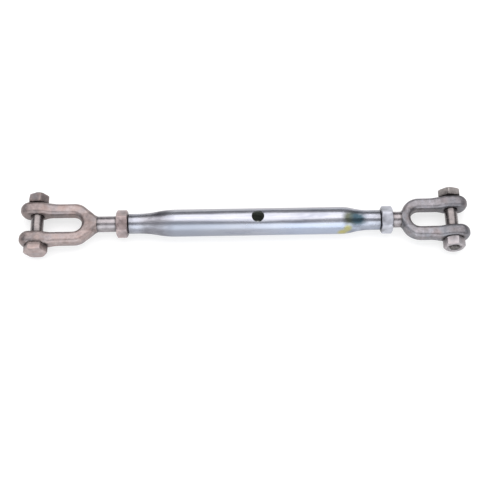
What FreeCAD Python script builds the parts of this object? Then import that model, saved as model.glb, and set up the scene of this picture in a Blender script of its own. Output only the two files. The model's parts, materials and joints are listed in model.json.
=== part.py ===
import FreeCAD, Part
import os
from math import asin, cos, radians, sin, sqrt, tan

# Turnbuckle: a swaged tube with a screwed fork jaw and a lock nut at each end.
# X runs along the tube, Z through its cross hole, and the origin is where they meet.
# All sizes are in millimetres.

Vec = FreeCAD.Vector
ORIGIN, X_AXIS = Vec(0, 0, 0), Vec(1, 0, 0)
Y_AXIS, Z_AXIS = Vec(0, 1, 0), Vec(0, 0, 1)

# Tube: three-quarter inch pipe with both ends swaged down and screwed
tube_d = 27.2
tube_wall = 2.6
neck_d = 20.0
tube_left, tube_right = 129.6, 122.8  # from the cross hole to each end
left_neck, right_neck = 10.0, 12.0  # straight length of each neck
left_swage, right_swage = 39.0, 30.0  # length of each taper
bore_swage_ratio = 0.9  # the bore's taper is this much shorter than the outer one
bar_hole_d = 12.5
neck_chamfer = 0.8

# Threads, five-eighths inch for the jaws and half an inch for the pins, as plain cylinders
shank_d = 15.9
pin_d = 12.7
thread_gap = 0.05  # radial, between a shank and what is screwed on it
pin_gap = 0.08  # radial, between a pin and a jaw's eyes
face_gap = 0.05  # between faces that are screwed up to each other
shank_in_tube = 95.0
shank_chamfer = 1.6

# Lock nuts, each turned from standing on a corner
lock_af, lock_h = 24.2, 11.6
left_lock_turn, right_lock_turn = -8.0, 8.0  # in degrees

# Fork jaws
fork_gap = 18.4  # between the two arms, and twice the radius at the bottom of the fork
ear_tip = 17.3  # from the pin to the round end of an ear
ear_h = 21.0
ear_outer = 22.8  # outer face of an ear, from the middle of the fork
ear_level = 2.0  # how far an ear keeps its full height past the pin
ear_flat = 10.0  # how far an ear's outer face runs straight past the pin
ear_fade = 14.0  # length over which an ear's height runs out into the arm's
arm_outer = 21.8
arm_h = 13.6
arm_blend = 12.0  # length over which an ear's outer face runs out into the arm's
throat_rise = 15.0  # length over which an arm's height grows to the shank's
edge_r = 4.4  # rounding of all forged edges
edge_share = 0.37  # and the most that it takes of an arm's width
throat_step = 0.4  # how far the forging stands proud of the turned shank
throat_ease = 0.3  # room between the throat's flat sides and its turned corners

# Where each jaw differs: pin from the cross hole, then from the pin towards the tube
left_pin, right_pin = 221.0, 194.0
left_crook, right_crook = 45.0, 41.3  # bottom of the fork
left_shoulder, right_shoulder = 37.6, 31.7  # where the shoulder starts to turn in
left_shoulder_r, right_shoulder_r = 16.0, 18.5
left_flare, right_flare = 41.0, 70.0  # angle of the throat's sides, in degrees
left_root_r, right_root_r = 4.0, 1.8  # hollow where the throat meets the shank

# Pin bolts and nuts, each hexagon turned from standing on a flat
head_af, head_h = 20.9, 7.5
nut_af, nut_h = 19.1, 9.4
left_tail, right_tail = 3.0, 0.6  # how far each bolt stands out of its nut
tail_chamfer = 1.2
left_head_turn, right_head_turn = 0.0, 19.0  # in degrees
left_nut_turn, right_nut_turn = -13.0, 15.0

# Hexagon corners are turned off at this angle, from a circle that is this share of the flats
corner_angle = 30.0
nut_circle, head_circle = 0.96, 1.05

# How far a cutting or trimming shape reaches past what it cuts
overrun = 1.0

# A rounding takes at most this share of the side that it lies on
round_share = 0.95

# Two places closer than this are the same
touch = 0.01


def ring(point, axis, radius, length):
    return Part.makeCylinder(radius, length, point, axis)


def line(p, q):
    return Part.LineSegment(Vec(*p, 0), Vec(*q, 0)).toShape()


def arc(p, middle, q):
    return Part.Arc(Vec(*p, 0), Vec(*middle, 0), Vec(*q, 0)).toShape()


def ogee(p, q):
    # Two equal arcs from p to q, level at both ends
    run, rise = q[0] - p[0], q[1] - p[1]
    radius = (run ** 2 + rise ** 2) / (4 * abs(rise))
    half = asin(abs(run) / 2 / radius) / 2
    step = radius * sin(half) * (1 if run > 0 else -1)
    drop = radius * (1 - cos(half)) * (1 if rise > 0 else -1)
    centre = ((p[0] + q[0]) / 2, (p[1] + q[1]) / 2)
    return [arc(p, (p[0] + step, p[1] + drop), centre), arc(centre, (q[0] - step, q[1] - drop), q)]


def mirrored(edges):
    # The same edges on the other side of the X axis
    return [e.mirror(ORIGIN, Y_AXIS) for e in edges]


def face_of(edges):
    return Part.Face(Part.Wire(Part.__sortEdges__(edges)))


def turned(edges):
    # A solid turned about X from a closed outline above it
    return face_of(edges).revolve(ORIGIN, X_AXIS, 360)


def hexagon(af, height, circle, chamfered_base):
    # Along Z from the origin, corners turned off at the far end and maybe at the base
    corner_r = af / sqrt(3)
    corners = [Vec(corner_r * cos(radians(60 * k)), corner_r * sin(radians(60 * k)), 0) for k in range(7)]
    block = Part.Face(Part.makePolygon(corners)).extrude(Z_AXIS * height)
    flat_r, wide_r = af / 2 * circle, corner_r + overrun
    drop = (wide_r - flat_r) * tan(radians(corner_angle))
    base = [(flat_r, 0), (wide_r, drop)] if chamfered_base else [(wide_r, 0)]
    profile = [(0, 0)] + base + [(wide_r, height - drop), (flat_r, height), (0, height), (0, 0)]
    turned_off = Part.Face(Part.makePolygon([Vec(r, 0, z) for r, z in profile]))
    return block.common(turned_off.revolve(ORIGIN, Z_AXIS, 360))


def tube_end(end, neck, swage):
    # Outer and bore edges of one half of the tube, from the middle to the end at +X
    start = end - neck - swage
    tube_r, neck_r = tube_d / 2, neck_d / 2
    outer = [line((0, tube_r), (start, tube_r))]
    outer += ogee((start, tube_r), (end - neck, neck_r))
    outer.append(line((end - neck, neck_r), (end - neck_chamfer, neck_r)))
    outer.append(line((end - neck_chamfer, neck_r), (end, neck_r - neck_chamfer)))
    bore_r, seat_r = tube_r - tube_wall, shank_d / 2 + thread_gap
    bore_end = start + swage * bore_swage_ratio
    inner = [line((0, bore_r), (start, bore_r))]
    inner += ogee((start, bore_r), (bore_end, seat_r))
    inner.append(line((bore_end, seat_r), (end, seat_r)))
    inner.append(line((end, seat_r), (end, neck_r - neck_chamfer)))
    return outer + inner


def body_tube():
    right = tube_end(tube_right, right_neck, right_swage)
    left = [e.mirror(ORIGIN, X_AXIS) for e in tube_end(tube_left, left_neck, left_swage)]
    tube = turned(right + left)
    return tube.cut(ring(Z_AXIS * -tube_d, Z_AXIS, bar_hole_d / 2, 2 * tube_d))


def throat_edges(shoulder, shoulder_r, flare, root_r):
    # The shoulder, the hollow at its root, the hollow's two ends, all above the X axis
    angle = radians(flare)
    shank_r = shank_d / 2 + throat_step
    turn_r = min(shoulder_r, round_share * (arm_outer - shank_r) / (1 - cos(angle)))
    middle = (shoulder + turn_r * sin(angle / 2), arm_outer - turn_r * (1 - cos(angle / 2)))
    bend = (shoulder + turn_r * sin(angle), arm_outer - turn_r * (1 - cos(angle)))
    corner = bend[0] + (bend[1] - shank_r) / tan(angle)
    tangent = min(root_r * tan(angle / 2), round_share * (bend[1] - shank_r) / sin(angle))
    hollow_r = tangent / tan(angle / 2)
    low = (corner - tangent * cos(angle), shank_r + tangent * sin(angle))
    shank = (corner + tangent, shank_r)
    hollow = (shank[0] - hollow_r * sin(angle / 2), shank_r + hollow_r * (1 - cos(angle / 2)))
    outer = [arc((shoulder, arm_outer), middle, bend), line(bend, low)]
    return outer, arc(low, hollow, shank), low, shank[0]


def plan_outline(crook, throat):
    # The fork seen along Z, pin at the origin and shank towards +X
    mouth, inner = -ear_tip - overrun, fork_gap / 2
    crook_centre = crook - inner
    shoulder = throat[0]
    outer, root, _, shank = throat_edges(*throat)
    arm = ear_flat + arm_blend
    half = [line((mouth, ear_outer), (ear_flat, ear_outer))]
    half += ogee((ear_flat, ear_outer), (arm, arm_outer))
    half.append(line((arm, arm_outer), (shoulder, arm_outer)))
    half += outer + [root]
    half.append(line((mouth, ear_outer), (mouth, inner)))
    half.append(line((mouth, inner), (crook_centre, inner)))
    bend = inner / sqrt(2)
    half.append(arc((crook_centre, inner), (crook_centre + bend, bend), (crook, 0)))
    return face_of(half + mirrored(half) + [shank_end(shank)])


def shank_end(shank):
    # Straight across, where the forging stops at the turned shank
    shank_r = shank_d / 2 + throat_step
    return line((shank, shank_r), (shank, -shank_r))


def side_outline(shank):
    # The fork seen along Y: round-ended ears, level arms, and a throat as high as the shank
    arm, ear = arm_h / 2, ear_h / 2
    faded = ear_level + ear_fade
    round_at = ear - ear_tip  # centre of an ear's round end
    bend = ear / sqrt(2)
    half = [arc((-ear_tip, 0), (round_at - bend, bend), (round_at, ear))]
    half.append(line((round_at, ear), (ear_level, ear)))
    half += ogee((ear_level, ear), (faded, arm))
    half.append(line((faded, arm), (shank - throat_rise, arm)))
    half += ogee((shank - throat_rise, arm), (shank, shank_d / 2 + throat_step))
    return face_of(half + mirrored(half) + [shank_end(shank)])


def throat_cone(throat):
    # What keeps the throat round where it runs into the shank
    _, root, low, shank = throat_edges(*throat)
    root.translate(Y_AXIS * throat_ease)
    low = (low[0], low[1] + throat_ease)
    wide = 2 * arm_outer
    back = low[0] - (wide - low[1]) / tan(radians(throat[2]))
    edges = [root, line(low, (back, wide)), line((back, wide), (-wide, wide))]
    edges += [line((-wide, wide), (-wide, 0)), line((-wide, 0), (shank, 0))]
    edges.append(line((shank, 0), (shank, shank_d / 2 + throat_step + throat_ease)))
    return turned(edges)


def fork(crook, throat):
    # The forged part of a jaw: both outlines in one block, edges rounded
    shank = throat_edges(*throat)[3]
    deep, wide = ear_h + overrun, ear_outer * 2 + overrun
    plan = plan_outline(crook, throat).extrude(Z_AXIS * deep)
    plan.translate(Z_AXIS * -deep / 2)
    side = side_outline(shank).extrude(Z_AXIS * wide)
    side.translate(Z_AXIS * -wide / 2)
    side.rotate(ORIGIN, X_AXIS, 90)
    block = plan.common(side).removeSplitter().Solids[0]
    forged = [e for e in block.Edges if e.BoundBox.XMin < shank - touch]
    rounding = min(edge_r, edge_share * (arm_outer - fork_gap / 2))
    block = block.makeFillet(rounding, forged)
    return block.common(throat_cone(throat)), shank


def jaw(pin, end, crook, throat):
    # Pin at the origin, shank towards +X and into the tube
    body, shank = fork(crook, throat)
    length = pin - end + shank_in_tube - shank
    rod = ring(X_AXIS * (shank - overrun), X_AXIS, shank_d / 2, length + overrun)
    rod = rod.makeChamfer(shank_chamfer, [max(rod.Edges, key=lambda e: e.BoundBox.XMin)])
    body = body.fuse(rod).removeSplitter()
    eyes = ring(Y_AXIS * -2 * ear_outer, Y_AXIS, pin_d / 2 + pin_gap, 4 * ear_outer)
    return body.cut(eyes)


def lock_nut(turn):
    nut = hexagon(lock_af, lock_h, nut_circle, True)
    nut = nut.cut(ring(ORIGIN, Z_AXIS, shank_d / 2 + thread_gap, lock_h))
    nut.rotate(ORIGIN, Z_AXIS, turn)
    nut.rotate(ORIGIN, Y_AXIS, 90)
    return nut


def pin_bolt(tail, turn):
    # Head at -Y, with the pin at the origin and its end at +Y
    head = hexagon(head_af, head_h, head_circle, False)
    head.rotate(ORIGIN, Z_AXIS, turn)
    head.rotate(ORIGIN, X_AXIS, 90)
    seat = ear_outer + face_gap
    head.translate(Y_AXIS * -seat)
    length = 2 * seat + nut_h + tail
    rod = ring(Y_AXIS * -seat, Y_AXIS, pin_d / 2, length)
    rod = rod.makeChamfer(tail_chamfer, [max(rod.Edges, key=lambda e: e.BoundBox.YMin)])
    return head.fuse(rod).removeSplitter()


def pin_nut(turn):
    nut = hexagon(nut_af, nut_h, nut_circle, True)
    nut = nut.cut(ring(ORIGIN, Z_AXIS, pin_d / 2 + thread_gap, nut_h))
    nut.rotate(ORIGIN, Z_AXIS, turn)
    nut.rotate(ORIGIN, X_AXIS, -90)
    nut.translate(Y_AXIS * (ear_outer + face_gap))
    return nut


def at_left(shape, x):
    shape.translate(X_AXIS * -x)
    return shape


def at_right(shape, x):
    # The right end is the left one turned about Z
    shape.rotate(ORIGIN, Z_AXIS, 180)
    shape.translate(X_AXIS * x)
    return shape


def save(name, shape):
    solids = shape.Solids
    solid = solids[0] if len(solids) == 1 else shape
    solid.exportStep("parts/" + name + ".step")


os.makedirs("parts", exist_ok=True)
save("body_tube", body_tube())
left_throat = (left_shoulder, left_shoulder_r, left_flare, left_root_r)
left = jaw(left_pin, tube_left, left_crook, left_throat)
save("left_jaw", at_left(left, left_pin))
right_throat = (right_shoulder, right_shoulder_r, right_flare, right_root_r)
right = jaw(right_pin, tube_right, right_crook, right_throat)
save("right_jaw", at_right(right, right_pin))
save("left_lock_nut", at_left(lock_nut(left_lock_turn), tube_left + face_gap + lock_h))
save("right_lock_nut", at_right(lock_nut(right_lock_turn), tube_right + face_gap + lock_h))
save("left_pin_bolt", at_left(pin_bolt(left_tail, left_head_turn), left_pin))
save("right_pin_bolt", at_right(pin_bolt(right_tail, right_head_turn), right_pin))
save("left_pin_nut", at_left(pin_nut(left_nut_turn), left_pin))
save("right_pin_nut", at_right(pin_nut(right_nut_turn), right_pin))
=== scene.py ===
import json
from math import asin, ceil, cos, pi, radians, sin, tan

import bmesh
import bpy
from mathutils import Matrix, Vector, noise

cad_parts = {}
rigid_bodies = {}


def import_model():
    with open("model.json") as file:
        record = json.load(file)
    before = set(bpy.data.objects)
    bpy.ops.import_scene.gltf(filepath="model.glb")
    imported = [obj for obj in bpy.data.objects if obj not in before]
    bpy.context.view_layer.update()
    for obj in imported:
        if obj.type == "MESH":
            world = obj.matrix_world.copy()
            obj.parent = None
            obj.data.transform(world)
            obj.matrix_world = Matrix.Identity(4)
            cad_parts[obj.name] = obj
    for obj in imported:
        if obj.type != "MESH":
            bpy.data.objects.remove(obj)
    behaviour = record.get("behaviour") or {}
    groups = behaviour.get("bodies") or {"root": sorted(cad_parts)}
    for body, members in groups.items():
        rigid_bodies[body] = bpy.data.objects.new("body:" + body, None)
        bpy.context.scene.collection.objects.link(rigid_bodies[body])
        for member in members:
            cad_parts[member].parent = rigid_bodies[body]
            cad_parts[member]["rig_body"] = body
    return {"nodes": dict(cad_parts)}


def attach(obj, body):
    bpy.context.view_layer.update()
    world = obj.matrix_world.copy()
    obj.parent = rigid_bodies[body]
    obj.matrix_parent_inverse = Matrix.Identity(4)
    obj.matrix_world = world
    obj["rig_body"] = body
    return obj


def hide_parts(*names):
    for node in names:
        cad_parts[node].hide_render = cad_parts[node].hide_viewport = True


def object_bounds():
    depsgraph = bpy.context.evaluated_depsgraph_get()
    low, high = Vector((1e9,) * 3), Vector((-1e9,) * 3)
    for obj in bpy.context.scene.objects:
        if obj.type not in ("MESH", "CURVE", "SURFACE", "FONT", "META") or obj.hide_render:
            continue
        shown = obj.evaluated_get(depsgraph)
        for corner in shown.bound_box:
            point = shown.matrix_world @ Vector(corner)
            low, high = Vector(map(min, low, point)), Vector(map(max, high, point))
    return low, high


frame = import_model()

# A galvanised turnbuckle: a bright swaged tube, two forged fork jaws on screwed shanks,
# a lock nut at each end of the tube, and a bolt with its nut as the pin of each jaw.
# Sizes are in millimetres and are brought to metres when a piece is put in its place.

CAD_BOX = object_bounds()
MM = 0.001

# Tube
TUBE_R, TUBE_BORE_R, NECK_R = 13.6, 11.0, 10.0
TUBE_LEFT, TUBE_RIGHT = 129.6, 122.8
LEFT_NECK, RIGHT_NECK = 10.0, 12.0
LEFT_SWAGE, RIGHT_SWAGE = 39.0, 30.0
BORE_SWAGE_SHARE = 0.9
NECK_CHAMFER, MOUTH_DEPTH, MOUTH_FLARE = 0.8, 0.8, 0.6
BAR_HOLE_R, BAR_RIM = 6.25, 0.35

# Shanks, pins and their threads
SHANK_R, SHANK_SEAT_R, SHANK_IN_TUBE = 7.95, 8.0, 95.0
SHANK_PITCH, SHANK_ROOT_R = 2.31, 6.6
SHANK_SUNK, SHANK_STEP, SHANK_TIP = 3.0, 0.6, 1.2
PIN_R, PIN_SEAT_R = 6.35, 6.4
PIN_PITCH, PIN_ROOT_R = 1.95, 5.2
PIN_THREAD, PIN_THREAD_LEAD = 15.0, -0.3
PIN_SUNK, PIN_TIP = 1.0, 0.7
FACE_GAP = 0.05
THREAD_CLEAR = 0.03
THREAD_STEPS = 32

# Nuts and heads
LOCK_AF, LOCK_H = 24.2, 11.6
LEFT_LOCK_TURN, RIGHT_LOCK_TURN = -8.0, 8.0
HEAD_AF, HEAD_H = 20.9, 7.5
NUT_AF, NUT_H = 19.1, 9.4
NUT_CIRCLE, HEAD_CIRCLE = 0.96, 1.05
CORNER_SLOPE, BORE_SINK, EDGE_ROUND = tan(radians(30)), 0.9, 0.32

# Forks: the ears, their eyes, the dipped skin, and how the ears' ends are drawn in
EAR_INNER, EAR_OUTER, EYE_R = 9.2, 22.8, 6.43
SKIN_VOXEL, SKIN_SMOOTHINGS = 0.55, 12
SKIN_SWELL, SKIN_SINK, EYE_SKIN = 0.09, 0.1, 0.45
EAR_TIP_FROM, EAR_TIP_REACH, EAR_TIP_DRAW = 7.5, 10, 0.62

# Each end: pin from the cross hole, throat from the pin, tail past the nut, turns in degrees
LEFT_PIN, RIGHT_PIN = 221.0, 194.0
LEFT_THROAT, RIGHT_THROAT = 60.55, 50.81
LEFT_TAIL, RIGHT_TAIL = 3.0, 0.6
LEFT_HEAD_TURN, RIGHT_HEAD_TURN = 0.0, 19.0
LEFT_NUT_TURN, RIGHT_NUT_TURN = -13.0, 15.0

# How far dirt and painted shade reach from a joint
NUT_DIRT_AND_SHADE, LOCK_RING_DIRT_AND_SHADE, NUT_RING_DIRT_AND_SHADE = 1.3, 1.6, 1.4
TUBE_DIRT_AND_SHADE, SHANK_DIRT_AND_SHADE, PIN_DIRT_AND_SHADE, EYE_DIRT_AND_SHADE, SEAT_DIRT_AND_SHADE = 2.2, 2.5, 2.4, 2.2, 2.4
SEAT_R = 10.5

# Corners in a round, and half the floor in metres
ROUND_STEPS, TUBE_STEPS, HEXAGON_STEPS = 64, 128, 72
FLOOR_HALF = 8

# Coloured patches on the tube: place, radius and tone
TUBE_PATCHES = [((92, -3, 12), 10, (84, 88, 78)), ((99, -3, 10), 10, (60, 78, 88)),
               ((84, -13.5, 0), 6.5, (168, 163, 110)), ((89, -12, 5.5), 5.5, (164, 162, 118))]
DARK_PATCH = (-97, 8, 8), 12, (74, 72, 80)


# ---- meshes ----

def object_of(name, mesh):
    made = bpy.data.objects.new(name, mesh)
    bpy.context.scene.collection.objects.link(made)
    return made


def object_from(name, bm):
    mesh = bpy.data.meshes.new(name)
    bm.to_mesh(mesh)
    bm.free()
    return object_of(name, mesh)


def applied(piece):
    # The piece with its modifiers made part of its mesh
    graph = bpy.context.evaluated_depsgraph_get()
    mesh = bpy.data.meshes.new_from_object(piece.evaluated_get(graph), depsgraph=graph)
    piece.modifiers.clear()
    old = piece.data
    piece.data = mesh
    bpy.data.meshes.remove(old)
    return piece


def put(piece, place):
    # Millimetres to metres, at its place on the turnbuckle
    piece.data.transform(Matrix.Scale(MM, 4) @ place)
    piece.data.update()
    return piece


def turned(name, outline, steps=ROUND_STEPS, closed=False):
    # A piece turned about Z from points (height, radius); closed joins the last to the first
    bm = bmesh.new()
    rings = []
    for z, r in outline:
        if r == 0:
            rings.append([bm.verts.new((0, 0, z))] * steps)
        else:
            turns = [2 * pi * k / steps for k in range(steps)]
            rings.append([bm.verts.new((r * cos(t), r * sin(t), z)) for t in turns])
    pairs = list(zip(rings, rings[1:]))
    if closed:
        pairs.append((rings[-1], rings[0]))
    for low, high in pairs:
        for k in range(steps):
            n = (k + 1) % steps
            corners = list(dict.fromkeys([low[k], low[n], high[n], high[k]]))
            if len(corners) > 2:
                bm.faces.new(corners)
    bmesh.ops.recalc_face_normals(bm, faces=bm.faces)
    return object_from(name, bm)


def hexagon(name, af, height, circle, both_ends, bore_r):
    # A nut, or a head where bore_r is 0, along Z from the origin with its corners turned off
    flat_r = af / 2
    bm = bmesh.new()
    columns = []
    for k in range(HEXAGON_STEPS):
        t = 2 * pi * k / HEXAGON_STEPS
        side_r = flat_r / cos((t % (pi / 3)) - pi / 6)
        ring_r = min(flat_r * circle, side_r)
        drop = (side_r - ring_r) * CORNER_SLOPE
        foot = [(side_r, 0)]
        if both_ends:
            foot = [(ring_r, 0), (side_r, drop)]
        rows = foot + [(side_r, height - drop), (ring_r, height)]
        if bore_r:
            rows = [(bore_r, BORE_SINK), (bore_r + BORE_SINK, 0)] + rows
            rows += [(bore_r + BORE_SINK, height), (bore_r, height - BORE_SINK)]
        columns.append([bm.verts.new((r * cos(t), r * sin(t), z)) for r, z in rows])
    for k in range(HEXAGON_STEPS):
        a, b = columns[k], columns[(k + 1) % HEXAGON_STEPS]
        for i in range(len(a) - 1):
            bm.faces.new((a[i], b[i], b[i + 1], a[i + 1]))
        if bore_r:
            bm.faces.new((a[-1], b[-1], b[0], a[0]))
    if not bore_r:
        bm.faces.new([c[0] for c in columns])
        bm.faces.new([c[-1] for c in columns])
    bmesh.ops.remove_doubles(bm, verts=bm.verts, dist=0.01)
    bmesh.ops.recalc_face_normals(bm, faces=bm.faces)
    piece = object_from(name, bm)
    edge = piece.modifiers.new("worn_edges", "BEVEL")
    edge.limit_method, edge.angle_limit = "ANGLE", radians(24)
    edge.width, edge.segments = EDGE_ROUND, 3
    return applied(piece)


def ogee(p, q, steps):
    # Points of two equal arcs from p to q, level at both ends, without p
    run, rise = q[0] - p[0], q[1] - p[1]
    onward, upward = (1 if run > 0 else -1), (1 if rise > 0 else -1)
    radius = (run ** 2 + rise ** 2) / (4 * abs(rise))
    whole = asin(abs(run) / 2 / radius)
    points = []
    for k in range(1, 2 * steps + 1):
        share = k / steps
        turn = whole * (share if share <= 1 else 2 - share)
        along = radius * sin(turn)
        across = radius * (1 - cos(turn))
        if share > 1:
            along, across = abs(run) - along, abs(rise) - across
        points.append((p[0] + along * onward, p[1] + across * upward))
    return points


def tube_half(end, neck, swage):
    # Outer and bore outline of the tube from its middle to the end, as (height, radius)
    start = end - neck - swage
    outer = [(start, TUBE_R)] + ogee((start, TUBE_R), (end - neck, NECK_R), 14)
    # The neck's chamfer is eased where it starts and where it ends
    ease, dip, lip = 0.3, 0.12, 0.1
    face_r = NECK_R - NECK_CHAMFER
    outer += [(end - NECK_CHAMFER - ease, NECK_R), (end - NECK_CHAMFER, NECK_R - dip),
              (end - dip, face_r + lip), (end, face_r - lip)]
    bore_end = start + swage * BORE_SWAGE_SHARE
    inner = [(start, TUBE_BORE_R)] + ogee((start, TUBE_BORE_R), (bore_end, SHANK_SEAT_R), 8)
    inner += [(end - MOUTH_DEPTH, SHANK_SEAT_R), (end, SHANK_SEAT_R + MOUTH_FLARE)]
    return outer, inner


# ---- nodes ----

def node(tree, kind, inputs=(), **settings):
    made = tree.nodes.new(kind)
    for key, value in settings.items():
        setattr(made, key, value)
    for key, value in dict(inputs).items():
        if isinstance(value, bpy.types.NodeSocket):
            tree.links.new(value, made.inputs[key])
        else:
            made.inputs[key].default_value = value
    return made


def maths_in(tree, kind, a, b=0.0, clamp=False):
    return node(tree, "ShaderNodeMath", {0: a, 1: b}, operation=kind, use_clamp=clamp).outputs[0]


def span_in(tree, value, low, high, to_low=0.0, to_high=1.0):
    return node(tree, "ShaderNodeMapRange", {
        "Value": value, "From Min": low, "From Max": high,
        "To Min": to_low, "To Max": to_high}).outputs[0]


def mixed_in(tree, share, a, b):
    return node(tree, "ShaderNodeMix", {0: share, 6: a, 7: b}, data_type="RGBA").outputs[2]


# ---- the thread, one set of nodes for every screw ----

def thread_nodes():
    # A right-hand ridge that winds up Z: turns, pitch, its radii, and how wide it is at each,
    # as shares of the pitch
    tree = bpy.data.node_groups.new("screw_thread", "GeometryNodeTree")
    kinds = [("Turns", "Float", 10.0), ("Pitch", "Float", 2.0),
             ("Inner radius", "Float", 6.8), ("Outer radius", "Float", 8.0),
             ("Inner width", "Float", 0.9), ("Outer width", "Float", 0.14),
             ("Steps a turn", "Int", THREAD_STEPS), ("Metal", "Material", None)]
    for name, kind, value in kinds:
        socket = tree.interface.new_socket(name, in_out="INPUT", socket_type="NodeSocket" + kind)
        if value is not None:
            socket.default_value = value
    tree.interface.new_socket("Geometry", in_out="OUTPUT", socket_type="NodeSocketGeometry")
    given = tree.nodes.new("NodeGroupInput").outputs
    # The ridge is a little deeper than it shows, and runs out thin over half a turn at each end
    sunk, runs_out, thinnest = 1.12, 2.0, 0.12

    def maths(kind, a, b=0.0, clamp=False):
        return maths_in(tree, kind, a, b, clamp)

    height = maths("MULTIPLY", given["Turns"], given["Pitch"])
    depth = maths("SUBTRACT", given["Outer radius"], given["Inner radius"])
    middle = maths("MULTIPLY", maths("ADD", given["Outer radius"], given["Inner radius"]), 0.5)
    spiral = node(tree, "GeometryNodeCurveSpiral", {
        "Resolution": given["Steps a turn"], "Rotations": given["Turns"],
        "Start Radius": middle, "End Radius": middle, "Height": height})
    upright = node(tree, "GeometryNodeSetCurveNormal", {"Curve": spiral.outputs[0]}, mode="Z_UP")
    ridge = node(tree, "GeometryNodeCurvePrimitiveQuadrilateral", {
        "Height": maths("MULTIPLY", depth, sunk), "Offset": 0.0,
        "Bottom Width": maths("MULTIPLY", given["Pitch"], given["Inner width"]),
        "Top Width": maths("MULTIPLY", given["Pitch"], given["Outer width"])}, mode="TRAPEZOID")
    quarter = node(tree, "ShaderNodeCombineXYZ", {2: -pi / 2})
    stood = node(tree, "GeometryNodeTransform", {
        "Geometry": ridge.outputs[0], "Rotation": quarter.outputs[0]})
    factor = node(tree, "GeometryNodeSplineParameter").outputs["Factor"]
    along = maths("MULTIPLY", factor, given["Turns"])
    left_over = maths("SUBTRACT", given["Turns"], along)
    thin = maths("MINIMUM", maths("MULTIPLY", along, runs_out, True),
                 maths("MULTIPLY", left_over, runs_out, True))
    wound = node(tree, "GeometryNodeCurveToMesh", {
        "Curve": upright.outputs[0], "Profile Curve": stood.outputs[0],
        "Scale": maths("MAXIMUM", thin, thinnest), "Fill Caps": True})
    real = node(tree, "GeometryNodeRealizeInstances", {0: wound.outputs[0]})
    faced = node(tree, "GeometryNodeSetMaterial", {
        "Geometry": real.outputs[0], "Material": given["Metal"]})
    tree.links.new(faced.outputs[0], tree.nodes.new("NodeGroupOutput").inputs[0])
    return tree


def thread(name, values, left_hand=False):
    # One ridge as a plain mesh, with the named inputs of the thread nodes
    carrier = object_of(name, bpy.data.meshes.new(name))
    winder = carrier.modifiers.new("screw_thread", "NODES")
    winder.node_group = THREAD
    for item in THREAD.interface.items_tree:
        if item.in_out == "INPUT" and item.name in values:
            winder[item.identifier] = values[item.name]
    applied(carrier)
    bm = bmesh.new()
    bm.from_mesh(carrier.data)
    if left_hand:
        bmesh.ops.scale(bm, vec=(1, -1, 1), verts=bm.verts)
    bmesh.ops.remove_doubles(bm, verts=bm.verts, dist=1e-4)
    bmesh.ops.recalc_face_normals(bm, faces=bm.faces)
    bm.to_mesh(carrier.data)
    bm.free()
    return carrier


# ---- finishes ----

def grey(r, g, b):
    # A colour given as it is seen on a screen, 0 to 255
    shares = [c / 255 for c in (r, g, b)]
    return tuple(c / 12.92 if c < 0.0431 else ((c + 0.055) / 1.055) ** 2.4 for c in shares) + (1,)


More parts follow.
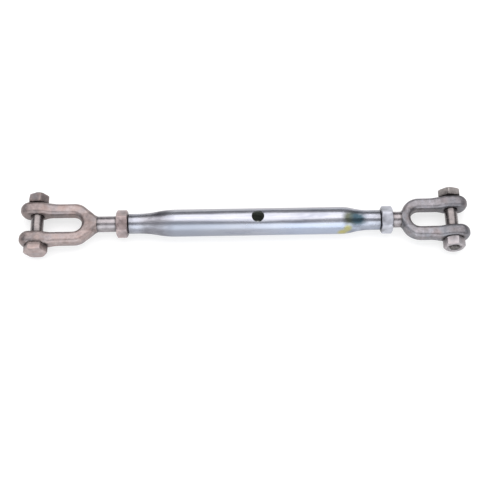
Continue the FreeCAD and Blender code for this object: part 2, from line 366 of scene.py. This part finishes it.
class Finish:
    """One metal finish: its material, and the nodes that most of them share."""

    def __init__(self, name, metallic):
        self.material = bpy.data.materials.new(name)
        self.material.use_nodes = True
        self.tree = self.material.node_tree
        self.shader = self.tree.nodes["Principled BSDF"]
        self.shader.inputs["Metallic"].default_value = metallic
        self.place = self.node("ShaderNodeTexCoord").outputs["Object"]

    def node(self, kind, inputs=(), **settings):
        return node(self.tree, kind, inputs, **settings)

    def maths(self, kind, a, b=0.0, clamp=False):
        return maths_in(self.tree, kind, a, b, clamp)

    def span(self, value, low, high, to_low=0.0, to_high=1.0):
        return span_in(self.tree, value, low, high, to_low, to_high)

    def mixed(self, share, a, b):
        return mixed_in(self.tree, share, a, b)

    def laid(self, colour, tone, where, share):
        # A tone laid over the colour where it belongs, at this share
        return self.mixed(self.maths("MULTIPLY", where, share, True), colour, grey(*tone))

    def grain(self, size, stretch=(1, 1, 1), detail=4.0, rough=0.55):
        # Noise with features of this size in millimetres, drawn out by stretch
        scale = tuple(1 / (size * MM * s) for s in stretch)
        moved = self.node("ShaderNodeMapping", {"Vector": self.place, "Scale": scale})
        return self.node("ShaderNodeTexNoise", {
            "Vector": moved.outputs[0], "Scale": 1.0,
            "Detail": detail, "Roughness": rough}).outputs["Fac"]

    def ramp(self, value, stops):
        made = self.node("ShaderNodeValToRGB", {"Fac": value})
        made.color_ramp.interpolation = "EASE"
        while len(made.color_ramp.elements) < len(stops):
            made.color_ramp.elements.new(0.5)
        for element, (at, tone) in zip(made.color_ramp.elements, stops):
            element.position, element.color = at, grey(*tone)
        return made.outputs["Color"]

    def near(self, point, radius):
        # 1 at a point in millimetres, and 0 from this radius on
        centre = tuple(c * MM for c in point)
        away = self.node("ShaderNodeVectorMath", {0: self.place, 1: centre}, operation="DISTANCE")
        return self.span(away.outputs["Value"], radius * MM, 0.0)

    def kept(self, name):
        # What the piece's mesh keeps for each point: edge wear, painted shade in hollows and
        # underneath, or dirt and painted shade in the joints
        return self.node("ShaderNodeAttribute", attribute_name=name).outputs["Fac"]

    def soiled_and_shaded(self, colour, under_share, under, grime_and_shade):
        # Painted shade: darker in hollows and underneath; dirt and painted shade in the joints
        cloud = self.span(self.grain(2.6), 0.3, 0.62, 0.45, 1.0)
        # Painted shade on the faces turned down
        colour = self.laid(colour, under, self.kept("underside_shade"), under_share)
        # Painted shade in the hollows
        hollow_shade = self.maths("MULTIPLY", self.kept("hollow_shade"), cloud)
        colour = self.laid(colour, grime_and_shade, hollow_shade, 0.75)
        # Dirt and painted shade in the joints
        joint_dirt_and_shade = self.maths("MULTIPLY", self.kept("grime_and_shade"), cloud)
        return self.laid(colour, grime_and_shade, joint_dirt_and_shade, 0.92)

    def done(self, colour, roughness, bumps):
        # bumps are pairs of height and depth in millimetres, laid over each other
        self.tree.links.new(colour, self.shader.inputs["Base Color"])
        self.tree.links.new(roughness, self.shader.inputs["Roughness"])
        inputs = {"Strength": 1.0}
        for height, depth in bumps:
            inputs.update({"Height": height, "Distance": depth * MM})
            inputs["Normal"] = self.node("ShaderNodeBump", inputs).outputs[0]
        self.tree.links.new(inputs["Normal"], self.shader.inputs["Normal"])
        return self.material


def tube_zinc():
    # Bright plated pipe: drawn along its length, dull and darker where the dies closed it
    f = Finish("tube_zinc", 1.0)
    drawn = f.grain(0.5, (60, 1, 1), 3)
    broad = f.grain(8, (5, 1, 1), 4)
    colour = f.ramp(broad, [(0.3, (150, 153, 164)), (0.5, (170, 172, 181)), (0.7, (182, 183, 189))])
    colour = f.mixed(f.span(drawn, 0.35, 0.75, 0.0, 0.22), colour, grey(118, 118, 132))
    along, across, up = f.node("ShaderNodeSeparateXYZ", {0: f.place}).outputs

    def over(way, start, end, to_start=0.0, to_end=1.0):
        # Rises from start to end, in millimetres
        return f.span(way, start * MM, end * MM, to_start, to_end)

    def both(a, b):
        return f.maths("MULTIPLY", a, b, True)

    # A dull film on the left front, darkened as painted shade; a painted cool light on the right
    # front; and a browner far side, which is painted shade
    left_film_and_shade = both(over(along, 45, -65), over(across, -2, -6))
    left_film_and_shade = both(left_film_and_shade, over(along, -104, -88, 0.3, 1.0))
    colour = f.laid(colour, (140, 145, 157), left_film_and_shade, 0.85)
    painted_cool_light = both(over(along, -10, 40), over(across, -6, -11))
    colour = f.laid(colour, (152, 166, 190), painted_cool_light, 0.5)
    far_film_and_shade = over(across, 7.5, 12.5)
    colour = f.laid(colour, (128, 121, 122), far_film_and_shade, 0.5)
    # The two swages, patchy from the dies
    left = both(over(along, -82, -98), over(along, -122, -112))
    right = both(over(along, 82, 92), over(along, 118, 104))
    swage = f.maths("ADD", left, right, True)
    patchy = both(swage, f.span(f.grain(4.4, (2.2, 1, 1), 5), 0.4, 0.6))
    colour = f.laid(colour, (104, 106, 116), patchy, 0.5)
    colour = f.laid(colour, (112, 108, 110), left, 0.45)
    # Coloured patches, a dark patch and specks
    uneven = f.span(f.grain(4, (1.4, 1, 1), 4), 0.25, 0.5, 0.5, 1.0)
    for point, radius, tone in TUBE_PATCHES:
        colour = f.laid(colour, tone, f.maths("MULTIPLY", f.near(point, radius), uneven), 1.8)
    point, radius, tone = DARK_PATCH
    uneven = f.span(f.grain(5, (1.5, 1, 1), 4), 0.25, 0.5, 0.4, 1.0)
    colour = f.laid(colour, tone, f.maths("MULTIPLY", f.near(point, radius), uneven), 1.2)
    specks = f.span(f.grain(1.1, detail=2), 0.7, 0.78)
    colour = f.laid(colour, (96, 94, 96), specks, 0.5)
    # The cross hole and the bore are dull
    flat = f.node("ShaderNodeCombineXYZ", {0: 0.0, 1: across, 2: up}).outputs[0]
    reach = f.node("ShaderNodeVectorMath", {0: flat}, operation="LENGTH").outputs["Value"]
    bore = f.maths("MULTIPLY", over(reach, TUBE_R - 0.7, TUBE_R - 1.1),
                   over(f.maths("ABSOLUTE", along), 62, 58))
    colour = f.mixed(bore, colour, grey(160, 166, 160))
    colour = f.soiled_and_shaded(colour, 0.3, (118, 122, 136), (42, 40, 42))
    roughness = f.span(broad, 0.3, 0.7, 0.21, 0.29)
    for where, more in ((patchy, 0.14), (left_film_and_shade, 0.08), (far_film_and_shade, 0.1), (bore, 0.5)):
        roughness = f.maths("ADD", roughness, f.maths("MULTIPLY", where, more))
    die = f.maths("MULTIPLY", f.grain(3.2, (2.4, 1, 1), 2), swage)
    wave = f.grain(24, (2, 1, 1), 2)
    return f.done(colour, roughness, [(drawn, 0.007), (wave, 0.12), (die, 0.2)])


def galvanised(name, tones, roughness, lump, warm=0.3, cold=0.25):
    # Hot-dipped zinc: dull, mottled, with a brown bloom, cold patches and small pits
    f = Finish(name, 0.85)
    mottle = f.grain(4.5, detail=5, rough=0.62)
    colour = f.ramp(mottle, list(zip((0.32, 0.5, 0.68), tones)))
    bloom = f.span(f.grain(8, (1.6, 1, 1), 5), 0.46, 0.62)
    colour = f.laid(colour, (158, 132, 124), bloom, warm)
    chill = f.span(f.grain(11, (1, 1.4, 1), 5), 0.48, 0.62)
    colour = f.laid(colour, (124, 132, 142), chill, cold)
    freckle = f.span(f.grain(0.8, detail=3), 0.6, 0.75)
    colour = f.laid(colour, (86, 80, 80), freckle, 0.2)
    colour = f.laid(colour, tones[2], f.kept("edge_wear"), 0.4)
    colour = f.soiled_and_shaded(colour, 0.55, (78, 80, 86), (44, 40, 38))
    pits = f.node("ShaderNodeTexVoronoi", {"Vector": f.place, "Scale": 1 / (2.2 * MM)})
    pits = f.span(pits.outputs["Distance"], 0.0, 0.35)
    rough = f.span(mottle, 0.3, 0.7, roughness - 0.07, roughness + 0.07)
    lumps, sand = f.grain(3.4, detail=3), f.grain(0.5)
    return f.done(colour, rough, [(lumps, lump), (pits, 0.02), (sand, 0.025)])


def plated(name, dark, pale, roughness, line_axis, lump=0.05):
    # Zinc plate on a turned or cut piece, with fine tool lines across one axis
    f = Finish(name, 1.0)
    stretch = {"x": (1, 30, 30), "y": (30, 1, 30)}[line_axis]
    cut = f.grain(0.25, stretch, 2)
    cloud = f.grain(5.5)
    colour = f.ramp(cloud, [(0.3, dark), (0.7, pale)])
    colour = f.mixed(f.span(cut, 0.4, 0.8, 0.0, 0.25), colour, grey(*dark))
    colour = f.laid(colour, pale, f.kept("edge_wear"), 0.5)
    colour = f.soiled_and_shaded(colour, 0.4, (84, 84, 90), (44, 41, 40))
    rough = f.span(cloud, 0.3, 0.7, roughness - 0.05, roughness + 0.06)
    return f.done(colour, rough, [(cut, 0.008), (f.grain(2.5), lump)])


# ---- joining a piece to its body ----

def share_of(value):
    return min(1.0, max(0.0, value))


def fading(distance, reach):
    # 1 at no distance and 0 at the reach
    return 1 - distance / reach


def spread(values, around):
    # Each point's value evened out with its neighbours'
    return [(values[k] + sum(values[n] for n in near)) / (1 + len(near))
            for k, near in enumerate(around)]


def worn_and_shaded(piece, full, dirt_and_shade):
    # For each point: how far it stands out, how far it lies hollow and how far it faces down, for
    # painted shade, and its dirt and painted shade at the joints
    bm = bmesh.new()
    bm.from_mesh(piece.data)
    bm.normal_update()
    bulge = []
    for v in bm.verts:
        out = [v.normal.dot((v.co - e.other_vert(v).co).normalized()) for e in v.link_edges]
        bulge.append(sum(out) / max(1, len(out)) / full)
    around = [[e.other_vert(v).index for e in v.link_edges] for v in bm.verts]
    edge, hollow_shade = [share_of(b) for b in bulge], [share_of(-b) for b in bulge]
    for _ in range(2):
        edge, hollow_shade = spread(edge, around), spread(hollow_shade, around)
    kept = {"edge_wear": edge, "hollow_shade": hollow_shade,
            "underside_shade": [max(0.0, -v.normal.z) for v in bm.verts],
            "grime_and_shade": [share_of(dirt_and_shade(v.co / MM)) for v in bm.verts]}
    bm.free()
    for name, values in kept.items():
        piece.data.attributes.new(name, "FLOAT", "POINT").data.foreach_set("value", values)


def clean(point):
    return 0.0


def finished(piece, body, material, angle=35, full=0.3, dirt_and_shade=clean):
    worn_and_shaded(piece, full, dirt_and_shade)
    piece.data.materials.clear()
    piece.data.materials.append(material)
    piece.data.shade_smooth()
    piece.data.set_sharp_from_angle(angle=radians(angle))
    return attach(piece, body)


# ---- the pieces ----

ALONG = Matrix.Rotation(radians(90), 4, "Y")  # from Z to X
BACK = Matrix.Rotation(radians(-90), 4, "X")  # from Z to +Y
FRONT = Matrix.Rotation(radians(90), 4, "X")  # from Z to -Y
AT_LEFT = Matrix.Translation((-LEFT_PIN, 0, 0))
AT_RIGHT = Matrix.Translation((RIGHT_PIN, 0, 0)) @ Matrix.Rotation(pi, 4, "Z")


def moved(x, y, z):
    return Matrix.Translation((x, y, z))


def drilled(tube):
    # The cross hole for a bar, through both walls, with its rims broken
    past = 40
    drill = turned("drill", [(-past, 0), (-past, BAR_HOLE_R), (past, BAR_HOLE_R), (past, 0)])
    drill.data.transform(Matrix.Scale(MM, 4))
    cut = tube.modifiers.new("bar_hole", "BOOLEAN")
    cut.object, cut.solver = drill, "EXACT"
    applied(tube)
    bpy.data.objects.remove(drill)
    bm = bmesh.new()
    bm.from_mesh(tube.data)
    weight = bm.edges.layers.float.new("bevel_weight_edge")
    rim_r = BAR_HOLE_R * MM
    for edge in bm.edges:
        on_rim = all(abs(v.co.xy.length - rim_r) < 0.02 * MM for v in edge.verts)
        if on_rim and len(edge.link_faces) == 2 and edge.calc_face_angle() > radians(30):
            edge[weight] = 1.0
    bm.to_mesh(tube.data)
    bm.free()
    rim = tube.modifiers.new("broken_rim", "BEVEL")
    rim.limit_method, rim.width, rim.segments = "WEIGHT", BAR_RIM * MM, 3
    return applied(tube)


def body_tube():
    outer_right, inner_right = tube_half(TUBE_RIGHT, RIGHT_NECK, RIGHT_SWAGE)
    outer_left, inner_left = tube_half(TUBE_LEFT, LEFT_NECK, LEFT_SWAGE)
    outer = [(-z, r) for z, r in reversed(outer_left)] + outer_right
    inner = [(-z, r) for z, r in reversed(inner_left)] + inner_right
    tube = put(turned("tube", outer + inner[::-1], TUBE_STEPS, True), ALONG)
    drilled(tube)

    def dirt_and_shade(p):
        # Dirt and painted shade in the joint with each lock nut
        end = TUBE_RIGHT if p.x > 0 else TUBE_LEFT
        return fading(end - abs(p.x), TUBE_DIRT_AND_SHADE)

    finished(tube, "body_tube", tube_zinc(), 30, dirt_and_shade=dirt_and_shade)
    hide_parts("body_tube")


def forging(name, cad_node, place, throat, material):
    # The forged fork: the CAD shape to the end of its throat, with a dipped, uneven skin
    bm = bmesh.new()
    bm.from_mesh(frame["nodes"][cad_node].data)
    bmesh.ops.remove_doubles(bm, verts=bm.verts, dist=1e-6)
    bm.transform(place.inverted() @ Matrix.Scale(1 / MM, 4))
    everything = bm.verts[:] + bm.edges[:] + bm.faces[:]
    bmesh.ops.bisect_plane(bm, geom=everything, plane_co=(throat, 0, 0), plane_no=(1, 0, 0),
                           clear_outer=True)
    bmesh.ops.holes_fill(bm, edges=[e for e in bm.edges if e.is_boundary])
    bmesh.ops.recalc_face_normals(bm, faces=bm.faces)
    piece = object_from(name, bm)
    skin = piece.modifiers.new("skin", "REMESH")
    skin.mode, skin.voxel_size, skin.use_smooth_shade = "VOXEL", SKIN_VOXEL, True
    smooth = piece.modifiers.new("smooth", "SMOOTH")
    smooth.factor, smooth.iterations = 0.5, SKIN_SMOOTHINGS
    applied(piece)
    normals = [v.normal.copy() for v in piece.data.vertices]
    for v, normal in zip(piece.data.vertices, normals):
        swell = noise.noise(v.co / 9) + 0.5 * noise.noise(v.co / 3.5)
        v.co += normal * (SKIN_SWELL * swell - SKIN_SINK)
        # The ears' ends are drawn in to full rounds
        tip = share_of((-v.co.x - EAR_TIP_FROM) / EAR_TIP_REACH)
        middle = (EAR_INNER + EAR_OUTER) / 2 * (1 if v.co.y > 0 else -1)
        v.co.y = middle + (v.co.y - middle) * (1 - EAR_TIP_DRAW * (1 - cos(asin(tip))))
        # The eyes keep their bore
        reach = Vector((v.co.x, v.co.z))
        if reach.length < EYE_R + EYE_SKIN:
            v.co.x, v.co.z = reach.normalized() * max(EYE_R, reach.length)
    put(piece, place)
    pin_x = place.translation.x

    def dirt_and_shade(p):
        # Dirt and painted shade round the head and the nut and in the eyes; painted shade on the
        # inner faces and over the ears
        away = Vector((p.x - pin_x, p.z)).length
        seat = fading(away - SEAT_R, SEAT_DIRT_AND_SHADE) if abs(p.y) > EAR_OUTER - 0.9 else 0
        eye_dirt_and_shade = fading(away - EYE_R, EYE_DIRT_AND_SHADE) if abs(p.y) < EAR_INNER + 1.5 else 0
        # Painted shade on the inner faces between the ears
        inner = 0.35 if abs(p.y) < EAR_INNER + 0.8 else 0
        # Painted shade over the ears
        ear_shade = 0.42 * share_of((abs(p.x) - abs(pin_x) + 12) / 10)
        return max(seat, eye_dirt_and_shade, inner, ear_shade)

    body = frame["nodes"][cad_node]["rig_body"]
    finished(piece, body, material, 60, 0.12, dirt_and_shade)
    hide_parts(cad_node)


def screwed_shank(name, body, place, pin, end, throat, left_hand, plain_metal, thread_metal):
    # The plain part from the throat to the lock nut, then the threaded part into the tube
    plain_end = pin - end - LOCK_H
    tip = pin - end + SHANK_IN_TUBE
    rings = 8
    rows = [(throat - SHANK_SUNK, 0), (throat - SHANK_SUNK, SHANK_R)]
    rows += [(throat + (plain_end - throat) * k / rings, SHANK_R) for k in range(rings)]
    rows += [(plain_end - SHANK_STEP, SHANK_R), (plain_end, SHANK_R - SHANK_STEP)]
    rows += [(plain_end + 1.6, SHANK_ROOT_R), (tip - SHANK_TIP, SHANK_ROOT_R),
             (tip, SHANK_ROOT_R - SHANK_TIP), (tip, 0)]
    shank = put(turned(name, rows), place @ ALONG)
    jaw_x = place.translation.x

    def dirt_and_shade(p):
        # Dirt and painted shade against the throat and the lock nut
        x = abs(p.x - jaw_x)
        return max(fading(abs(x - throat), SHANK_DIRT_AND_SHADE), fading(plain_end - x, SHANK_DIRT_AND_SHADE))

    finished(shank, body, plain_metal, 30, dirt_and_shade=dirt_and_shade)
    ridge = thread(name + "_thread", {
        "Turns": (tip - plain_end - 1.5) / SHANK_PITCH, "Pitch": SHANK_PITCH,
        "Inner radius": SHANK_ROOT_R, "Outer radius": SHANK_R - THREAD_CLEAR,
        "Metal": thread_metal}, left_hand)
    put(ridge, place @ moved(plain_end + 0.5, 0, 0) @ ALONG)
    finished(ridge, body, thread_metal, 30)


def lock_nut(name, end, place, turn, material):
    nut = hexagon(name + "_hexagon", LOCK_AF, LOCK_H, NUT_CIRCLE, True, SHANK_SEAT_R)
    put(nut, place @ ALONG @ Matrix.Rotation(radians(turn), 4, "Z"))

    def dirt_and_shade(p):
        # Dirt and painted shade on the face that is screwed up to the tube, and round the shank
        around = Vector((p.y, p.z)).length - SHANK_SEAT_R
        return max(fading(abs(p.x) - end, NUT_DIRT_AND_SHADE), fading(around, LOCK_RING_DIRT_AND_SHADE))

    finished(nut, name, material, 30, dirt_and_shade=dirt_and_shade)
    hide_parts(name)


def pin_bolt(name, place, tail, turn, head_metal, pin_metal, thread_metal):
    # Head in front of the near ear, shank through both eyes, thread under the nut
    seat = EAR_OUTER + FACE_GAP
    end = seat + NUT_H + tail
    head = hexagon(name + "_head", HEAD_AF, HEAD_H, HEAD_CIRCLE, False, 0)
    put(head, place @ moved(0, -seat, 0) @ FRONT @ Matrix.Rotation(radians(turn), 4, "Z"))

    def head_dirt_and_shade(p):
        # Dirt and painted shade against the ear
        return fading(abs(p.y) - seat, NUT_DIRT_AND_SHADE)

    def pin_dirt_and_shade(p):
        # Dirt and painted shade where the pin goes into each ear
        return fading(EAR_INNER + 0.4 - abs(p.y), PIN_DIRT_AND_SHADE)

    finished(head, name, head_metal, 30, dirt_and_shade=head_dirt_and_shade)
    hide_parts(name)
    start = end - PIN_THREAD
    rows = [(-seat - PIN_SUNK, 0), (-seat - PIN_SUNK, PIN_R)]
    rows += [(y, PIN_R) for y in range(-12, 13, 2)]
    rows += [(start - 1, PIN_R), (start, PIN_ROOT_R)]
    rows += [(end - 1, PIN_ROOT_R), (end, PIN_ROOT_R - PIN_TIP), (end, 0)]
    pin = put(turned(name + "_pin", rows), place @ BACK)
    finished(pin, name, pin_metal, 30, dirt_and_shade=pin_dirt_and_shade)
    ridge = thread(name + "_thread", {
        "Turns": (PIN_THREAD - 0.4) / PIN_PITCH, "Pitch": PIN_PITCH,
        "Inner radius": PIN_ROOT_R, "Outer radius": PIN_R - 0.02, "Metal": thread_metal})
    put(ridge, place @ BACK @ moved(0, 0, start + PIN_THREAD_LEAD))
    finished(ridge, name, thread_metal, 30)


def pin_nut(name, place, tail, turn, material, thread_metal, ring):
    nut = hexagon(name + "_hexagon", NUT_AF, NUT_H, NUT_CIRCLE, True, PIN_SEAT_R)
    seat = place @ moved(0, EAR_OUTER + FACE_GAP, 0) @ BACK
    put(nut, seat @ Matrix.Rotation(radians(turn), 4, "Z"))
    pin_x = place.translation.x

    def dirt_and_shade(p):
        # Dirt and painted shade against the ear, and in a ring round the bolt
        around = Vector((p.x - pin_x, p.z)).length - PIN_SEAT_R
        joint_dirt_and_shade = fading(abs(p.y) - EAR_OUTER - FACE_GAP, NUT_DIRT_AND_SHADE)
        return max(joint_dirt_and_shade, ring * fading(around, NUT_RING_DIRT_AND_SHADE))

    finished(nut, name, material, 30, dirt_and_shade=dirt_and_shade)
    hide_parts(name)
    # The nut's own thread lies half a pitch off the bolt's, inside the bore's chamfers
    inset = 0.5
    start = NUT_H + tail - PIN_THREAD + PIN_THREAD_LEAD + PIN_PITCH / 2
    start += PIN_PITCH * ceil((inset - start) / PIN_PITCH)
    ridge = thread(name + "_thread", {
        "Turns": (NUT_H - inset - start) / PIN_PITCH, "Pitch": PIN_PITCH,
        "Inner radius": PIN_ROOT_R + 0.15, "Outer radius": PIN_SEAT_R + 0.05,
        "Inner width": 0.14, "Outer width": 0.9, "Metal": thread_metal})
    put(ridge, seat @ moved(0, 0, start))
    finished(ridge, name, thread_metal, 30)


# ---- studio ----

def camera():
    # Above and in front, at the photograph's angle, with its slight roll
    target, distance = Vector((-0.01817, -0.01989, 0)), 1.047
    raised, turn, roll = radians(64.25), radians(-0.27), radians(0.686)
    back = Vector((cos(raised) * sin(turn), -cos(raised) * cos(turn), sin(raised)))
    level = Vector((0, 0, 1)).cross(back).normalized()
    upward = back.cross(level)
    right = level * cos(roll) - upward * sin(roll)
    upward = back.cross(right)
    axes = Matrix((right, upward, back)).transposed().to_4x4()
    made = object_of("camera", bpy.data.cameras.new("camera"))
    made.data.lens, made.data.sensor_width = 79.05, 36
    made.matrix_world = Matrix.Translation(target + back * distance) @ axes
    bpy.context.scene.camera = made


def soft_light(name, angle, tint, width, length=2.2, distance=1.2, glow=1.95):
    # A panel along X; the angle is from straight up, towards the front
    lamp = bpy.data.lights.new(name, "AREA")
    lamp.shape, lamp.size, lamp.size_y = "RECTANGLE", length, width
    lamp.energy, lamp.color = glow * pi * width * length, tint
    panel = object_of(name, lamp)
    turn = radians(angle)
    panel.matrix_world = (moved(0, -distance * sin(turn), distance * cos(turn))
                          @ Matrix.Rotation(turn, 4, "X"))
    panel.visible_camera = False


def seen_directly(tree, rays):
    # By the camera or through glass
    return maths_in(tree, "MAXIMUM", rays["Is Camera Ray"], rays["Is Transmission Ray"])


def room():
    world = bpy.data.worlds.new("room")
    world.use_nodes = True
    tree = world.node_tree
    # Darker towards the horizon, as in a room lit from above
    place = node(tree, "ShaderNodeTexCoord").outputs["Generated"]
    height = node(tree, "ShaderNodeSeparateXYZ", {0: place}).outputs[2]
    dim, bright, white = (0.24, 0.24, 0.25, 1), (0.6, 0.6, 0.62, 1), (1, 1, 1, 1)
    shade = mixed_in(tree, span_in(tree, height, 0.15, 0.85), dim, bright)
    # The white backdrop: all of it for the camera, and as high as it stands for metal
    rays = node(tree, "ShaderNodeLightPath").outputs
    low = span_in(tree, height, 0.12, 0.06)
    metal = maths_in(tree, "MULTIPLY", rays["Is Glossy Ray"], low)
    seen = maths_in(tree, "MAXIMUM", seen_directly(tree, rays), metal)
    tree.links.new(mixed_in(tree, seen, shade, white), tree.nodes["Background"].inputs[0])
    bpy.context.scene.world = world


def floor_white():
    # A white table; seen directly or in the metal, only part of its shadow is kept
    material = bpy.data.materials.new("floor_white")
    material.use_nodes = True
    tree = material.node_tree
    tree.nodes.clear()

    def diffuse(level):
        return node(tree, "ShaderNodeBsdfDiffuse", {"Color": (level, level, level, 1)}).outputs[0]

    def glow(strength):
        return node(tree, "ShaderNodeEmission", {
            "Color": (1, 1, 1, 1), "Strength": strength}).outputs[0]

    rays = node(tree, "ShaderNodeLightPath").outputs
    seen = maths_in(tree, "MAXIMUM", seen_directly(tree, rays), rays["Is Glossy Ray"])
    shown = node(tree, "ShaderNodeAddShader", {0: glow(0.66), 1: diffuse(0.42)}).outputs[0]
    # It goes over into the plain white backdrop away from the turnbuckle
    place = node(tree, "ShaderNodeTexCoord").outputs["Object"]
    away = node(tree, "ShaderNodeVectorMath", {0: place}, operation="LENGTH").outputs["Value"]
    shown = node(tree, "ShaderNodeMixShader", {
        0: span_in(tree, away, 0.6, 2.0), 1: shown, 2: glow(1.0)}).outputs[0]
    mix = node(tree, "ShaderNodeMixShader", {0: seen, 1: diffuse(0.86), 2: shown})
    node(tree, "ShaderNodeOutputMaterial", {0: mix.outputs[0]})
    return material


def studio():
    room()
    soft_light("overhead", -20, (1.0, 0.975, 0.96), 1.2)
    soft_light("front", 64, (0.95, 0.985, 1.0), 0.95)
    bm = bmesh.new()
    bmesh.ops.create_grid(bm, x_segments=1, y_segments=1, size=FLOOR_HALF)
    floor = object_from("floor", bm)
    floor.data.transform(moved(0, 0, CAD_BOX[0][2]))
    floor.data.materials.append(floor_white())


THREAD = thread_nodes()
camera()
studio()

left_jaw_skin = galvanised(
    "left_jaw_galvanised", [(136, 124, 123), (156, 143, 141), (176, 163, 161)], 0.46, 0.06)
right_jaw_skin = galvanised(
    "right_jaw_galvanised", [(108, 105, 108), (130, 127, 131), (156, 153, 158)],
    0.43, 0.06, warm=0.14, cold=0.4)
lock_left_skin = galvanised(
    "nut_galvanised", [(146, 132, 132), (168, 153, 153), (192, 176, 174)], 0.33, 0.03)
head_skin = galvanised(
    "bolt_galvanised", [(142, 129, 128), (166, 152, 150), (190, 176, 174)], 0.44, 0.05)
left_nut_skin = galvanised(
    "left_pin_nut_galvanised", [(112, 102, 101), (134, 123, 122), (158, 146, 145)], 0.46, 0.05)
right_nut_skin = galvanised(
    "right_pin_nut_galvanised", [(138, 133, 136), (160, 155, 158), (184, 179, 182)],
    0.42, 0.05, warm=0.15)
head_zinc = plated("head_zinc", (164, 157, 155), (196, 190, 187), 0.42, "y", 0.02)
nut_zinc = plated("nut_zinc", (174, 176, 185), (202, 204, 213), 0.38, "x", 0.015)
shank_zinc = plated("shank_zinc", (132, 127, 130), (158, 153, 156), 0.3, "x", 0.01)
pin_zinc = plated("pin_zinc", (106, 102, 103), (140, 133, 132), 0.26, "y", 0.01)
thread_zinc = plated("thread_zinc", (136, 132, 130), (182, 176, 174), 0.36, "x")
tail_pale = plated("tail_pale", (150, 146, 148), (188, 184, 186), 0.4, "y")
tail_dark = plated("tail_dark", (62, 62, 60), (104, 102, 98), 0.42, "y")

body_tube()
forging("left_fork", "left_jaw", AT_LEFT, LEFT_THROAT, left_jaw_skin)
forging("right_fork", "right_jaw", AT_RIGHT, RIGHT_THROAT, right_jaw_skin)
screwed_shank("left_shank", "left_jaw", AT_LEFT, LEFT_PIN, TUBE_LEFT, LEFT_THROAT,
              True, shank_zinc, thread_zinc)
screwed_shank("right_shank", "right_jaw", AT_RIGHT, RIGHT_PIN, TUBE_RIGHT, RIGHT_THROAT,
              False, shank_zinc, thread_zinc)
lock_nut("left_lock_nut", TUBE_LEFT, moved(-TUBE_LEFT - FACE_GAP - LOCK_H, 0, 0),
         LEFT_LOCK_TURN, lock_left_skin)
lock_nut("right_lock_nut", TUBE_RIGHT,
         moved(TUBE_RIGHT + FACE_GAP + LOCK_H, 0, 0) @ Matrix.Rotation(pi, 4, "Z"),
         RIGHT_LOCK_TURN, nut_zinc)
pin_bolt("left_pin_bolt", AT_LEFT, LEFT_TAIL, LEFT_HEAD_TURN, head_skin, pin_zinc, tail_dark)
pin_bolt("right_pin_bolt", AT_RIGHT, RIGHT_TAIL, RIGHT_HEAD_TURN, head_zinc, pin_zinc, tail_pale)
pin_nut("left_pin_nut", AT_LEFT, LEFT_TAIL, LEFT_NUT_TURN, left_nut_skin, tail_dark, 1.0)
pin_nut("right_pin_nut", AT_RIGHT, RIGHT_TAIL, RIGHT_NUT_TURN, right_nut_skin, tail_pale, 0.25)

scene = bpy.context.scene
scene.view_settings.view_transform = "Standard"
